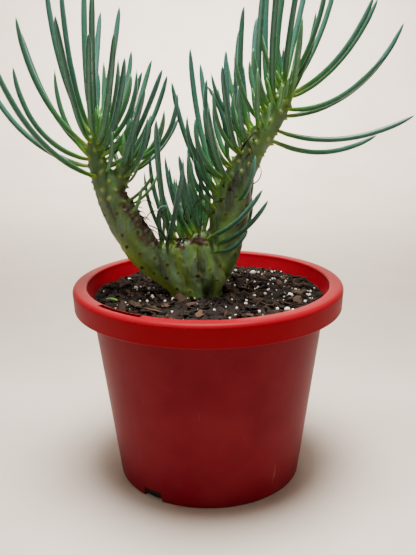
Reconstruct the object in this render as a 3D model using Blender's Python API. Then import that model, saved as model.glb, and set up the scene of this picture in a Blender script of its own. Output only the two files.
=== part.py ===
"""Potted senecio: a flattened, forked succulent stem with long finger leaves, in a nursery pot.

Metres, +Z up.  The origin is the middle of the pot's flat underside.
+X is the viewer's right and -Y faces the viewer.  The pot, the potting mix, the stem and every
leaf are separate solids.
"""
import math

import bmesh
import bpy
import numpy as np
from mathutils import Vector
from mathutils.bvhtree import BVHTree

# ---------------------------------------------------------------- pot
POT_HEIGHT = 0.150
RIM_RADIUS = 0.100
RIM_WIDTH = 0.0105             # flat top of the rim, from the mouth out
RIM_DEPTH = 0.017              # height of the skirt that hangs from the rim
MOUTH_FLARE = 0.0030           # the mouth is this much wider than the neck below it
WALL_TAPER = 0.0170            # the base is this much narrower than the neck
RIM_ROUND = 0.0045             # rounding of the rim's outer top edge
POT_WALL = 0.0018
POT_FLOOR = 0.0022
POT_SIDES = 60

NOTCH_WIDTH = 0.015            # drain notches where the wall meets the floor
NOTCH_HEIGHT = 0.0055
NOTCH_REACH = 0.007            # how far a notch runs in from the wall
NOTCH_TURNS = (-127.0, -7.0, 113.0)

SLOT_LENGTH = 0.027            # slit for a plant label, in the rim's inner edge
SLOT_WIDTH = 0.0014
SLOT_INSET = 0.0016            # from the rim's inner edge to the slit
SLOT_TURN = -128.0

# ---------------------------------------------------------------- potting mix
MIX_DROP = 0.010               # from the rim's top down to the mix
MIX_BUMP = 0.0016
MIX_GAP = 0.0003
MIX_SIDES = 40

# ---------------------------------------------------------------- stem
ROOT_DEPTH = 0.016             # how far the stem reaches into the mix
ROOT_POCKET_GAP = 0.0020       # loose fit of the mix round the buried stem
ROOT_CENTRE_X = -0.009
ROOT_HALF_WIDTH = 0.0210
ROOT_HALF_DEPTH = 0.0115
STEM_VOXEL = 0.0039
STEM_SIDES = 18

# Each limb is a list of stations: how far right, how far back, how high above the mix,
# half width, half depth.  The limbs overlap and are fused into one stem.
LEFT_ARM = (
    (-0.013, 0.000, 0.001, 0.0110, 0.0105),
    (-0.024, 0.000, 0.0125, 0.0115, 0.0105),
    (-0.042, 0.000, 0.028, 0.0125, 0.0105),
    (-0.056, -0.001, 0.048, 0.0130, 0.0100),
    (-0.066, -0.001, 0.067, 0.0120, 0.0090),
    (-0.073, 0.000, 0.083, 0.0095, 0.0080),
    (-0.078, 0.000, 0.098, 0.0072, 0.0068),
    (-0.079, 0.000, 0.112, 0.0064, 0.0062),
    (-0.076, 0.000, 0.122, 0.0060, 0.0060),
)
SIDE_SHOOT = (
    (-0.066, 0.001, 0.080, 0.0070, 0.0065),
    (-0.060, 0.001, 0.092, 0.0064, 0.0060),
    (-0.055, 0.000, 0.100, 0.0056, 0.0055),
)
LEFT_FOLD = (
    (-0.012, 0.001, -0.004, 0.0120, 0.0105),
    (-0.021, 0.001, 0.012, 0.0120, 0.0105),
    (-0.031, 0.001, 0.027, 0.0105, 0.0090),
    (-0.035, 0.001, 0.032, 0.0080, 0.0075),
)
MIDDLE_FOLD = (
    (-0.008, -0.001, -0.004, 0.0120, 0.0110),
    (-0.012, -0.001, 0.015, 0.0120, 0.0110),
    (-0.018, 0.000, 0.034, 0.0100, 0.0090),
)
CENTRE_LOBE = (
    (-0.003, -0.001, 0.005, 0.0115, 0.0105),
    (0.001, -0.002, 0.016, 0.0125, 0.0115),
    (-0.001, -0.002, 0.028, 0.0100, 0.0100),
    (-0.005, -0.001, 0.042, 0.0075, 0.0080),
)
RIGHT_ARM = (
    (0.000, 0.002, 0.006, 0.0100, 0.0085),
    (0.005, 0.004, 0.015, 0.0110, 0.0095),
    (0.011, 0.004, 0.030, 0.0125, 0.0095),
    (0.0145, 0.003, 0.050, 0.0140, 0.0095),
    (0.0175, 0.001, 0.068, 0.0138, 0.0095),
    (0.022, 0.000, 0.085, 0.0112, 0.0090),
    (0.031, 0.000, 0.103, 0.0092, 0.0085),
    (0.041, 0.000, 0.119, 0.0086, 0.0080),
    (0.049, 0.000, 0.132, 0.0078, 0.0072),
    (0.055, 0.000, 0.144, 0.0062, 0.0060),
    (0.057, 0.000, 0.152, 0.0052, 0.0052),
)

# ---------------------------------------------------------------- leaves
LEAF_RADIUS = 0.0019
LEAF_SIDES = 6
LEAF_SEAT = 0.0004             # gap between a leaf's foot and the stem
LEAF_PITCH = 0.0048            # least distance between two leaves' feet
LEAF_CLEARANCE = 0.0009        # least distance between two leaves
LEAF_LIFT = 0.0045             # how far a leaf stands off the stem before it turns up
LEAF_FULL_LENGTH = 0.095       # a leaf this long has the full radius
# Share of the length, and share of the radius there.
LEAF_PROFILE = ((0.0, 0.62), (0.07, 0.82), (0.21, 1.0), (0.40, 1.0),
                (0.60, 0.97), (0.80, 0.80), (0.93, 0.46))

# Each leaf: the height above the mix where it leaves its limb, its tip (right, back, above the
# mix) and how far its middle bows down and outwards.
LEFT_ARM_LEAVES = (
    (0.096, -0.128, -0.022, 0.166, 0.012),
    (0.092, -0.158, 0.010, 0.163, 0.012),
    (0.084, -0.136, -0.048, 0.175, 0.014),
    (0.100, -0.133, 0.032, 0.189, 0.010),
    (0.105, -0.126, -0.012, 0.198, 0.008),
    (0.114, -0.110, 0.015, 0.226, 0.006),
    (0.108, -0.094, -0.044, 0.197, 0.002),
    (0.115, -0.096, -0.005, 0.220, 0.003),
    (0.112, -0.072, -0.054, 0.186, 0.005),
    (0.118, -0.084, 0.022, 0.224, 0.002),
    (0.120, -0.073, -0.022, 0.215, 0.002),
    (0.118, -0.078, 0.055, 0.204, 0.005),
    (0.109, -0.056, -0.060, 0.186, 0.008),
    (0.118, -0.062, 0.036, 0.206, 0.004),
    (0.105, -0.052, -0.042, 0.171, 0.006),
    (0.106, -0.056, 0.050, 0.176, 0.008),
)
SIDE_SHOOT_LEAVES = (
    (0.097, -0.045, 0.010, 0.161, 0.003),
    (0.095, -0.040, 0.042, 0.169, 0.006),
    (0.096, -0.029, -0.020, 0.163, 0.004),
    (0.094, -0.028, 0.018, 0.158, 0.005),
    (0.091, -0.039, -0.044, 0.152, 0.006),
    (0.092, -0.020, -0.015, 0.147, 0.009),
    (0.088, -0.021, 0.038, 0.127, 0.007),
)
FOLD_LEAVES = (
    (0.030, -0.016, -0.030, 0.098, 0.003),
    (0.026, -0.034, -0.020, 0.130, 0.003),
    (0.033, -0.028, -0.026, 0.071, -0.010),
)
LOBE_LEAVES = (
    (0.040, 0.038, -0.030, 0.083, 0.007),
    (0.034, 0.042, -0.027, 0.075, 0.006),
    (0.030, 0.028, -0.026, 0.054, 0.005),
    (0.041, -0.019, -0.022, 0.106, 0.003),
)
RIGHT_ARM_LEAVES = (
    (0.062, -0.024, 0.010, 0.154, 0.004),
    (0.066, -0.011, 0.028, 0.177, 0.006),
    (0.062, -0.007, -0.012, 0.130, 0.003),
    (0.074, 0.001, -0.006, 0.156, 0.004),
    (0.070, -0.004, 0.046, 0.166, 0.006),
    (0.088, 0.001, 0.004, 0.151, -0.006),
    (0.080, 0.001, -0.045, 0.138, 0.004),
    (0.064, 0.033, -0.026, 0.106, 0.006),
    (0.097, 0.011, -0.034, 0.165, 0.002),
    (0.095, 0.015, 0.024, 0.175, 0.002),
    (0.103, 0.025, 0.030, 0.190, 0.003),
    (0.110, 0.027, 0.004, 0.204, 0.003),
    (0.118, 0.038, 0.042, 0.198, 0.003),
    (0.124, 0.040, -0.008, 0.220, 0.002),
    (0.132, 0.045, 0.024, 0.232, 0.002),
    (0.135, 0.048, -0.030, 0.227, 0.002),
    (0.142, 0.058, 0.010, 0.235, 0.002),
    (0.147, 0.062, -0.024, 0.227, 0.002),
    (0.147, 0.075, 0.035, 0.229, 0.003),
    (0.147, 0.081, -0.010, 0.222, 0.004),
    (0.145, 0.092, 0.024, 0.221, 0.005),
    (0.141, 0.111, -0.016, 0.209, 0.007),
    (0.138, 0.123, 0.028, 0.210, 0.010),
    (0.134, 0.114, -0.040, 0.170, 0.009),
    (0.126, 0.139, 0.014, 0.193, 0.014),
    (0.121, 0.143, -0.014, 0.131, 0.009),
    (0.115, 0.128, 0.034, 0.113, 0.010),
)

# ---------------------------------------------------------------- values that follow
MOUTH_RADIUS = RIM_RADIUS - RIM_WIDTH
NECK_RADIUS = MOUTH_RADIUS - MOUTH_FLARE
BASE_RADIUS = NECK_RADIUS - WALL_TAPER
SKIRT_BOTTOM = POT_HEIGHT - RIM_DEPTH
KNEE_HEIGHT = POT_HEIGHT - 0.55 * RIM_DEPTH
KNEE_RADIUS = NECK_RADIUS + 0.25 * (MOUTH_FLARE + POT_WALL)
MIX_LEVEL = POT_HEIGHT - MIX_DROP
UP = np.array((0.0, 0.0, 1.0))
BACK = np.array((0.0, 1.0, 0.0))


def clear_scene():
    """Remove every object, so that the script can be run again in an open file."""
    for item in list(bpy.data.objects):
        bpy.data.objects.remove(item, do_unlink=True)


def finish_material(name, colour, roughness):
    """A Principled BSDF with one colour and roughness, not metallic."""
    finish = bpy.data.materials.new(name)
    finish.use_nodes = True
    shader = finish.node_tree.nodes["Principled BSDF"]
    shader.inputs["Base Color"].default_value = (*colour, 1.0)
    shader.inputs["Roughness"].default_value = roughness
    shader.inputs["Metallic"].default_value = 0.0
    return finish


def add_solid(name, rings, finish, start_pole=None, end_pole=None, smooth_angle=40.0):
    """A closed skin over a stack of rings that all have as many points.

    Without a pole point, an end is closed by one flat face.
    """
    rings = [np.asarray(ring, float) for ring in rings]
    count = len(rings[0])
    mesh = bpy.data.meshes.new(name)
    work = bmesh.new()
    rows = [[work.verts.new(point) for point in ring] for ring in rings]
    for low, high in zip(rows, rows[1:]):
        for side in range(count):
            after = (side + 1) % count
            work.faces.new((low[side], low[after], high[after], high[side]))
    for row, pole in ((rows[0], start_pole), (rows[-1], end_pole)):
        if pole is None:
            work.faces.new(row)
        else:
            centre = work.verts.new(pole)
            for side in range(count):
                work.faces.new((row[side], row[(side + 1) % count], centre))
    bmesh.ops.recalc_face_normals(work, faces=work.faces[:])
    work.to_mesh(mesh)
    work.free()
    mesh.materials.append(finish)
    mesh.shade_smooth()
    mesh.set_sharp_from_angle(angle=math.radians(smooth_angle))
    solid = bpy.data.objects.new(name, mesh)
    bpy.context.collection.objects.link(solid)
    return solid


def circle(radius, height, sides, half_depth=None, centre_x=0.0):
    """A level ring of points, round or elliptical."""
    turn = np.linspace(0.0, 2.0 * math.pi, sides, endpoint=False)
    depth = radius if half_depth is None else half_depth
    return np.stack((centre_x + radius * np.cos(turn), depth * np.sin(turn),
                     np.full(sides, height)), axis=1)


def wall_radius(height):
    """The outside radius of the pot's wall at a height, up to the knee under the rim."""
    return float(np.interp(height, (0.0, SKIRT_BOTTOM, KNEE_HEIGHT),
                           (BASE_RADIUS, NECK_RADIUS, KNEE_RADIUS)))


def cut_with(solid, cutter):
    """Take the cutter's shape out of the solid and hide the cutter."""
    cut = solid.modifiers.new(cutter.name, "BOOLEAN")
    cut.operation = "DIFFERENCE"
    cut.solver = "EXACT"
    cut.object = cutter
    cutter.hide_render = True
    cutter.display_type = "WIRE"


def make_pot():
    """Tapered cup with a flared mouth, a flat rim and a hanging skirt, turned about its axis."""
    finish = finish_material("red_plastic", (0.30, 0.012, 0.014), 0.42)
    top = POT_HEIGHT
    lip = POT_WALL
    skirt_outer = RIM_RADIUS - 0.0006
    outside = (
        (BASE_RADIUS - 0.0015, 0.0),
        (BASE_RADIUS, 0.0015),
        (NECK_RADIUS, SKIRT_BOTTOM),
        (KNEE_RADIUS, KNEE_HEIGHT),
        (MOUTH_RADIUS + lip, top - 2.0 * lip),
        (MOUTH_RADIUS + 2.0 * lip, top - lip),
        (RIM_RADIUS - RIM_ROUND, top - lip),
        (skirt_outer - lip, top - lip - 0.5 * RIM_ROUND),
        (skirt_outer - lip, SKIRT_BOTTOM),
        (skirt_outer, SKIRT_BOTTOM),
        (RIM_RADIUS, top - RIM_ROUND),
        (RIM_RADIUS - 0.3 * RIM_ROUND, top - 0.3 * RIM_ROUND),
        (RIM_RADIUS - RIM_ROUND, top),
        (MOUTH_RADIUS + 0.0008, top),
        (MOUTH_RADIUS, top - 0.0008),
        (MOUTH_RADIUS, top - 1.6 * lip),
        (KNEE_RADIUS - lip, KNEE_HEIGHT),
        (NECK_RADIUS - lip, SKIRT_BOTTOM),
        (wall_radius(POT_FLOOR) - lip, POT_FLOOR + 0.002),
        (wall_radius(POT_FLOOR) - lip - 0.002, POT_FLOOR),
    )
    rings = [circle(radius, height, POT_SIDES) for radius, height in outside]
    pot = add_solid("pot", rings, finish, (0.0, 0.0, 0.0), (0.0, 0.0, POT_FLOOR), 35.0)
    for number, turn in enumerate(NOTCH_TURNS, 1):
        cut_with(pot, make_notch_cutter(f"notch_cutter_{number}", turn, finish))
    cut_with(pot, make_slot_cutter(finish))
    return pot


def make_notch_cutter(name, turn, finish):
    """A block across the pot's bottom corner, a little narrower at its top."""
    inner = BASE_RADIUS - NOTCH_REACH
    outer = BASE_RADIUS + 0.005
    half = 0.5 * NOTCH_WIDTH
    rings = []
    for height, share in ((-0.002, 1.0), (NOTCH_HEIGHT, 0.82)):
        rings.append([(inner, -half * share, height), (outer, -half * share, height),
                      (outer, half * share, height), (inner, half * share, height)])
    cutter = add_solid(name, rings, finish)
    cutter.rotation_euler = (0.0, 0.0, math.radians(turn))
    return cutter


def make_slot_cutter(finish):
    """A thin curved blade that follows the rim's inner edge."""
    inner = MOUTH_RADIUS + SLOT_INSET
    outer = inner + SLOT_WIDTH
    half = 0.5 * SLOT_LENGTH / inner
    rings = []
    for angle in np.linspace(-half, half, 9):
        rings.append([(radius * math.cos(angle), radius * math.sin(angle), height)
                      for radius, height in ((inner, POT_HEIGHT - 0.006), (outer, POT_HEIGHT - 0.006),
                                             (outer, POT_HEIGHT + 0.002), (inner, POT_HEIGHT + 0.002))])
    cutter = add_solid("slot_cutter", rings, finish)
    cutter.rotation_euler = (0.0, 0.0, math.radians(SLOT_TURN))
    return cutter


def bumps(points):
    """Uneven height of loose mix: crossed waves of a few centimetres and less."""
    x = points[:, 0]
    y = points[:, 1]
    coarse = np.sin(95.0 * x + 1.3) * np.sin(80.0 * y + 0.4)
    middle = np.sin(210.0 * x - 150.0 * y + 2.0) * np.sin(190.0 * y + 130.0 * x)
    return MIX_BUMP * (0.6 * coarse + 0.4 * middle)


def make_mix():
    """The filled inside of the pot, with an uneven top and a pocket that the stem stands in."""
    finish = finish_material("bark_mix", (0.045, 0.026, 0.018), 0.95)
    floor = POT_FLOOR + MIX_GAP
    inset = POT_WALL + MIX_GAP
    pocket_x = ROOT_HALF_WIDTH + ROOT_POCKET_GAP
    pocket_y = ROOT_HALF_DEPTH + ROOT_POCKET_GAP
    pocket_floor = MIX_LEVEL - ROOT_DEPTH - MIX_GAP
    mouth = circle(pocket_x, MIX_LEVEL, MIX_SIDES, pocket_y, ROOT_CENTRE_X)
    neck = min(SKIRT_BOTTOM, MIX_LEVEL - 0.004)
    rim_edge = circle(wall_radius(MIX_LEVEL - 0.001) - inset, MIX_LEVEL - 0.001, MIX_SIDES)
    rings = [
        circle(wall_radius(POT_FLOOR) - inset - 0.0025, floor, MIX_SIDES),
        circle(wall_radius(POT_FLOOR) - inset - 0.0002, floor + 0.0025, MIX_SIDES),
        circle(wall_radius(0.5 * SKIRT_BOTTOM) - inset, 0.5 * SKIRT_BOTTOM, MIX_SIDES),
        circle(wall_radius(neck) - inset, neck, MIX_SIDES),
        rim_edge,
    ]
    for share in (0.12, 0.26, 0.42, 0.58, 0.74, 0.88):
        ring = rim_edge * (1.0 - share) + mouth * share
        ring[:, 2] = MIX_LEVEL + bumps(ring)
        rings.append(ring)
    rings.append(mouth)
    rings.append(circle(pocket_x, pocket_floor, MIX_SIDES, pocket_y, ROOT_CENTRE_X))
    return add_solid("potting_mix", rings, finish, (0.0, 0.0, floor),
                     (ROOT_CENTRE_X, 0.0, pocket_floor), 30.0)


def smooth_path(stations, count):
    """Points along a smooth curve through the stations (Catmull-Rom), all columns alike."""
    stations = np.asarray(stations, float)
    padded = np.vstack((2.0 * stations[0] - stations[1], stations, 2.0 * stations[-1] - stations[-2]))
    place = np.linspace(0.0, len(stations) - 1.0, count)
    start = np.minimum(place.astype(int), len(stations) - 2)
    t = (place - start)[:, None]
    a, b, c, d = (padded[start + k] for k in range(4))
    return 0.5 * (2.0 * b + (c - a) * t + (2.0 * a - 5.0 * b + 4.0 * c - d) * t ** 2
                  + (3.0 * b - a - 3.0 * c + d) * t ** 3)


def unit(vectors):
    """Vectors scaled to length one, along the last axis."""
    return vectors / np.linalg.norm(vectors, axis=-1, keepdims=True)


def limb_path(stations):
    """A limb's smooth stations, lifted to the mix's level."""
    path = smooth_path(stations, 4 * len(stations))
    path[:, 2] += MIX_LEVEL
    return path


def limb_rings(stations):
    """Elliptical rings square to a limb's path, closed by a dome at its top."""
    path = limb_path(stations)
    centre = path[:, :3]
    along = unit(np.gradient(centre, axis=0))
    across = unit(np.cross(BACK, along))
    turn = np.linspace(0.0, 2.0 * math.pi, STEM_SIDES, endpoint=False)
    rings = []
    for spot, tangent, side, half_width, half_depth in zip(centre, along, across, path[:, 3], path[:, 4]):
        rings.append(spot + half_width * np.cos(turn)[:, None] * side
                     + half_depth * np.sin(turn)[:, None] * BACK)
    top = rings[-1]
    height = 0.9 * path[-1, 3]
    for step in (0.4, 0.7, 0.9):
        shrink = math.sqrt(1.0 - step ** 2)
        rings.append(centre[-1] + (top - centre[-1]) * shrink + along[-1] * height * step)
    return rings, centre[-1] + along[-1] * height


def make_stem():
    """The limbs and the buried root collar, fused and smoothed into one skin."""
    finish = finish_material("stem_skin", (0.10, 0.16, 0.035), 0.55)
    pieces = []
    for stations in (LEFT_ARM, SIDE_SHOOT, LEFT_FOLD, MIDDLE_FOLD, CENTRE_LOBE, RIGHT_ARM):
        rings, crown = limb_rings(stations)
        pieces.append(add_solid("limb", rings, finish, None, crown))
    collar = [circle(ROOT_HALF_WIDTH, MIX_LEVEL - ROOT_DEPTH, 28, ROOT_HALF_DEPTH, ROOT_CENTRE_X),
              circle(ROOT_HALF_WIDTH, MIX_LEVEL, 28, ROOT_HALF_DEPTH, ROOT_CENTRE_X),
              circle(0.8 * ROOT_HALF_WIDTH, MIX_LEVEL + 0.008, 28, 0.85 * ROOT_HALF_DEPTH, ROOT_CENTRE_X)]
    pieces.append(add_solid("root_collar", collar, finish))
    work = bmesh.new()
    for piece in pieces:
        work.from_mesh(piece.data)
        bpy.data.objects.remove(piece, do_unlink=True)
    mesh = bpy.data.meshes.new("stem")
    work.to_mesh(mesh)
    work.free()
    mesh.materials.append(finish)
    stem = bpy.data.objects.new("stem", mesh)
    bpy.context.collection.objects.link(stem)
    fuse = stem.modifiers.new("fuse", "REMESH")
    fuse.mode = "VOXEL"
    fuse.voxel_size = STEM_VOXEL
    fuse.use_smooth_shade = True
    ease = stem.modifiers.new("ease", "SMOOTH")
    ease.factor = 0.5
    ease.iterations = 2
    return stem


def surface_of(solid):
    """A search tree over a solid's evaluated surface."""
    view = bpy.context.evaluated_depsgraph_get()
    view.update()
    return BVHTree.FromObject(solid, view)


def find_feet(limbs, surface):
    """Where each leaf meets the stem: the way from the limb's middle towards the leaf's tip,
    then the feet are moved apart over the surface until none are nearer than LEAF_PITCH."""
    feet = []
    for path, height, tip in limbs:
        level = np.interp(MIX_LEVEL + height, path[:, 2], np.arange(len(path)))
        start = np.array([np.interp(level, np.arange(len(path)), path[:, k]) for k in range(3)])
        along = unit(np.array([np.interp(level, np.arange(len(path)), np.gradient(path[:, k]))
                               for k in range(3)]))
        aim = tip - start
        aim -= 0.45 * along * np.dot(aim, along)
        hit = surface.ray_cast(Vector(start), Vector(aim))
        feet.append(np.array(hit[0] if hit[0] is not None else start))
    feet = np.array(feet)
    for _ in range(60):
        apart = feet[:, None] - feet[None]
        distance = np.linalg.norm(apart, axis=2)
        np.fill_diagonal(distance, 1.0)
        short = np.clip(LEAF_PITCH - distance, 0.0, None)
        feet = feet + 0.4 * (apart / distance[..., None] * short[..., None]).sum(axis=1)
        feet = np.array([surface.find_nearest(Vector(foot))[0] for foot in feet])
    outward = []
    for foot in feet:
        near = surface.find_nearest_range(Vector(foot), 1.2 * STEM_VOXEL)
        outward.append(unit(np.sum([np.array(found[1]) for found in near], axis=0)))
    return feet, np.array(outward)


def leaf_curves(feet, outward, tips, bows):
    """Ring centres of every leaf at rest: off the stem, then in one gentle arc to the tip."""
    share = np.array([row[0] for row in LEAF_PROFILE] + [1.0])[None, :, None]
    chord = tips - feet
    level = outward * (1.0, 1.0, 0.0)
    way = unit(level + 1e-6) - UP
    straight = unit(chord)
    way = unit(way - straight * np.sum(way * straight, axis=1, keepdims=True))
    arc = 4.0 * share * (1.0 - share) * (way * bows[:, None])[:, None]
    stand_off = (1.0 - (1.0 - share) ** 8) * (1.0 - share) * LEAF_LIFT * outward[:, None]
    return feet[:, None] + share * chord[:, None] + arc + stand_off + LEAF_SEAT * outward[:, None]


def spread_leaves(curves, radii, surface):
    """Bend the leaves apart until they clear each other and the stem.

    Each leaf is sampled between its ring centres.  A sample that is too near another leaf or
    the stem is pushed away, and the push is spread along the leaf, less towards its foot.
    """
    knots = np.array([row[0] for row in LEAF_PROFILE] + [1.0])
    widths = np.array([row[1] for row in LEAF_PROFILE] + [0.12])
    places = np.linspace(0.02, 1.0, 34)
    between = np.array([np.interp(places, knots, row) for row in np.eye(len(knots))]).T
    spread = np.exp(-((knots[:, None] - places[None]) / 0.16) ** 2)
    spread = spread / spread.sum(axis=1, keepdims=True) * np.clip(knots / 0.16, 0.0, 1.0)[:, None]
    thick = radii[:, None] * np.interp(places, knots, widths)
    leaf_of = np.repeat(np.arange(len(curves)), len(places))
    other = leaf_of[:, None] != leaf_of[None]
    need = thick.ravel()[:, None] + thick.ravel()[None] + LEAF_CLEARANCE
    for _ in range(110):
        samples = np.einsum("sk,lkx->lsx", between, curves).reshape(-1, 3)
        squares = (samples ** 2).sum(axis=1)
        distance = np.sqrt(np.clip(squares[:, None] + squares[None] - 2.0 * samples @ samples.T,
                                   1e-12, None))
        first, second = np.nonzero((distance < need) & other)
        push = np.zeros_like(samples)
        if len(first):
            apart = samples[first] - samples[second]
            gap = distance[first, second]
            move = apart / gap[:, None] * (need[first, second] - gap)[:, None]
            np.add.at(push, first, 0.5 * move)
        for number, sample in enumerate(samples):
            room = thick.ravel()[number] + LEAF_SEAT
            spot, normal, _, reach = surface.find_nearest(Vector(sample), 2.0 * room)
            if spot is None:
                continue
            inside = (Vector(sample) - spot).dot(normal) < 0.0
            depth = room + reach if inside else room - reach
            if depth > 0.0:
                push[number] += np.array(normal) * depth
        if not push.any():
            break
        push = push.reshape(len(curves), len(places), 3)
        curves = curves + 1.7 * np.einsum("ks,lsx->lkx", spread, push)
    return curves


def leaf_rings(curve, radius, outward):
    """Round rings square to the leaf's curve, the first one flat on the stem's surface."""
    centres = curve[:-1]
    along = unit(np.gradient(curve, axis=0))[:-1]
    along[0] = outward
    side = unit(np.cross(along[0], BACK if abs(outward[1]) < 0.9 else UP))
    turn = np.linspace(0.0, 2.0 * math.pi, LEAF_SIDES, endpoint=False)
    rings = []
    for centre, tangent, (_, width) in zip(centres, along, LEAF_PROFILE):
        side = unit(side - tangent * np.dot(side, tangent))
        front = np.cross(tangent, side)
        rings.append(centre + radius * width * (np.cos(turn)[:, None] * side
                                                + np.sin(turn)[:, None] * front))
    return rings


def lift_foot(rings, outward, surface):
    """Move a leaf straight out from the stem until its lowest stretch clears the stem."""
    steps = np.linspace(0.0, 1.0, 5)[:, None, None]
    low = rings[0] + steps * (rings[1] - rings[0])
    high = rings[1] + steps[:3] * (rings[2] - rings[1])
    for _ in range(4):
        short = 0.0
        for point in np.concatenate((low, high)).reshape(-1, 3):
            spot, normal, _, reach = surface.find_nearest(Vector(point))
            signed = reach if (Vector(point) - spot).dot(normal) > 0.0 else -reach
            short = max(short, LEAF_SEAT - signed)
        move = short * outward
        rings = [ring + move for ring in rings]
        low = low + move
        high = high + move
    return rings


def make_leaves(stem):
    """Every leaf as its own solid, named after the limb that carries it."""
    finish = finish_material("leaf_skin", (0.055, 0.145, 0.095), 0.5)
    groups = (("left_arm_leaf", LEFT_ARM, LEFT_ARM_LEAVES),
              ("side_shoot_leaf", SIDE_SHOOT, SIDE_SHOOT_LEAVES),
              ("fold_leaf", LEFT_FOLD, FOLD_LEAVES),
              ("lobe_leaf", CENTRE_LOBE, LOBE_LEAVES),
              ("right_arm_leaf", RIGHT_ARM, RIGHT_ARM_LEAVES))
    names = []
    limbs = []
    bows = []
    for title, stations, leaves in groups:
        path = limb_path(stations)
        for number, (height, right, back, above, bow) in enumerate(leaves, 1):
            names.append(f"{title}_{number:02d}")
            limbs.append((path, height, np.array((right, back, MIX_LEVEL + above))))
            bows.append(bow)
    surface = surface_of(stem)
    feet, outward = find_feet(limbs, surface)
    tips = np.array([tip for _, _, tip in limbs])
    curves = leaf_curves(feet, outward, tips, np.array(bows))
    lengths = np.linalg.norm(np.diff(curves, axis=1), axis=2).sum(axis=1)
    radii = LEAF_RADIUS * (0.6 + 0.4 * np.clip(lengths / LEAF_FULL_LENGTH, 0.0, 1.0))
    curves = spread_leaves(curves, radii, surface)
    for name, curve, radius, way in zip(names, curves, radii, outward):
        rings = lift_foot(leaf_rings(curve, radius, way), way, surface)
        add_solid(name, rings, finish, None, curve[-1], 60.0)


clear_scene()
make_pot()
make_mix()
make_leaves(make_stem())
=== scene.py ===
"""Looks for the potted senecio: a crested, forked succulent in a red nursery pot.

Metres, +Z up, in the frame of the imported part.  Every new piece is worked out with numpy as rings
of points or as a displaced skin, and its place is in its mesh.
"""
import math

import bpy
import numpy as np
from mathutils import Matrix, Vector
from mathutils.bvhtree import BVHTree


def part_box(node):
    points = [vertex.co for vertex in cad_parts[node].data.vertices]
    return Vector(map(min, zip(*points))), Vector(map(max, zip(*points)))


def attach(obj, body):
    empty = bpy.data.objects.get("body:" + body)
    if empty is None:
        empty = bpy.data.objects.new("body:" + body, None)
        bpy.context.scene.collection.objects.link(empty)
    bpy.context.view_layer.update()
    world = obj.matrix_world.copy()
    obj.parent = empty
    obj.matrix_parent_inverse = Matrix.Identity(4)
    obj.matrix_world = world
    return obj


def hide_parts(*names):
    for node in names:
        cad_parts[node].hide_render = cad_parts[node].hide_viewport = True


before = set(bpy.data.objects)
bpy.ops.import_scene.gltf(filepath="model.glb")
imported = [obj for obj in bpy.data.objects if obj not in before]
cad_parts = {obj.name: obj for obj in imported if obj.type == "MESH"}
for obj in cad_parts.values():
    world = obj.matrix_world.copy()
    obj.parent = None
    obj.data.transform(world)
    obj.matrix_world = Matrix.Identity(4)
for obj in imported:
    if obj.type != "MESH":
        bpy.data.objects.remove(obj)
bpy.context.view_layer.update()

MM = 0.001
UP = np.array((0.0, 0.0, 1.0))
BACK = np.array((0.0, 1.0, 0.0))

# ---------------------------------------------------------------- sizes of the pot and the mix
POT_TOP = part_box("pot")[1].z
RIM_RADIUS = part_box("pot")[1].x
RIM_WIDTH = 10.5 * MM
RIM_DEPTH = 17.0 * MM
RIM_ROUND = 3.4 * MM
MOUTH_FLARE = 3.0 * MM
WALL_TAPER = 17.0 * MM
WALL = 1.8 * MM
FLOOR_THICK = 2.2 * MM
MOUTH_RADIUS = RIM_RADIUS - RIM_WIDTH
NECK_RADIUS = MOUTH_RADIUS - MOUTH_FLARE
BASE_RADIUS = NECK_RADIUS - WALL_TAPER
SKIRT_BOTTOM = POT_TOP - RIM_DEPTH
MIX_LEVEL = POT_TOP - 10.0 * MM
MIX_RADIUS = NECK_RADIUS - WALL
NOTCH_TURNS = (-127.0, -7.0, 113.0)
NOTCH_HALF_WIDTH = 9.0
NOTCH_HEIGHT = 8.0 * MM
SEAM_TURNS = (48.0, 228.0)
SLIT_TURN = -130.0
SLIT_HALF_LENGTH = 19.0
SLIT_INNER, SLIT_OUTER = 1.6, 5.2

# ---------------------------------------------------------------- limbs of the stem
# Stations in millimetres: right, back, above the mix, half width, half depth, as in the part.
LIMBS = {
    "left_arm": (
        (-13, 0, 1, 11, 10.5), (-24, 0, 12.5, 11.5, 10.5), (-42, 0, 28, 12.5, 10.5),
        (-56, -1, 48, 13, 10), (-66, -1, 67, 12, 9), (-73, 0, 83, 9.5, 8), (-78, 0, 98, 7.2, 6.8),
        (-79, 0, 112, 6.4, 6.2), (-76, 0, 122, 6, 6)),
    "side_shoot": ((-66, 1, 80, 7, 6.5), (-60, 1, 92, 6.4, 6), (-55, 0, 100, 5.6, 5.5)),
    "left_fold": ((-12, 1, -4, 12, 10.5), (-21, 1, 12, 12, 10.5), (-31, 1, 27, 10.5, 9),
                  (-35, 1, 32, 8, 7.5)),
    "middle_fold": ((-8, -1, -4, 12, 11), (-12, -1, 15, 12, 11), (-18, 0, 34, 10, 9)),
    "centre_lobe": ((-3, -1, 5, 11.5, 10.5), (1, -2, 16, 12.5, 11.5), (-1, -2, 28, 10, 10),
                    (-5, -1, 42, 7.5, 8)),
    "right_arm": (
        (0, 2, 6, 10, 8.5), (5, 4, 15, 11, 9.5), (11, 4, 30, 12.5, 9.5), (14.5, 3, 50, 14, 9.5),
        (17.5, 1, 68, 13.8, 9.5), (22, 0, 85, 11.2, 9), (31, 0, 103, 9.2, 8.5),
        (41, 0, 119, 8.6, 8), (49, 0, 132, 7.8, 7.2), (55, 0, 144, 6.2, 6), (57, 0, 152, 5.2, 5.2)),
}

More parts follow.
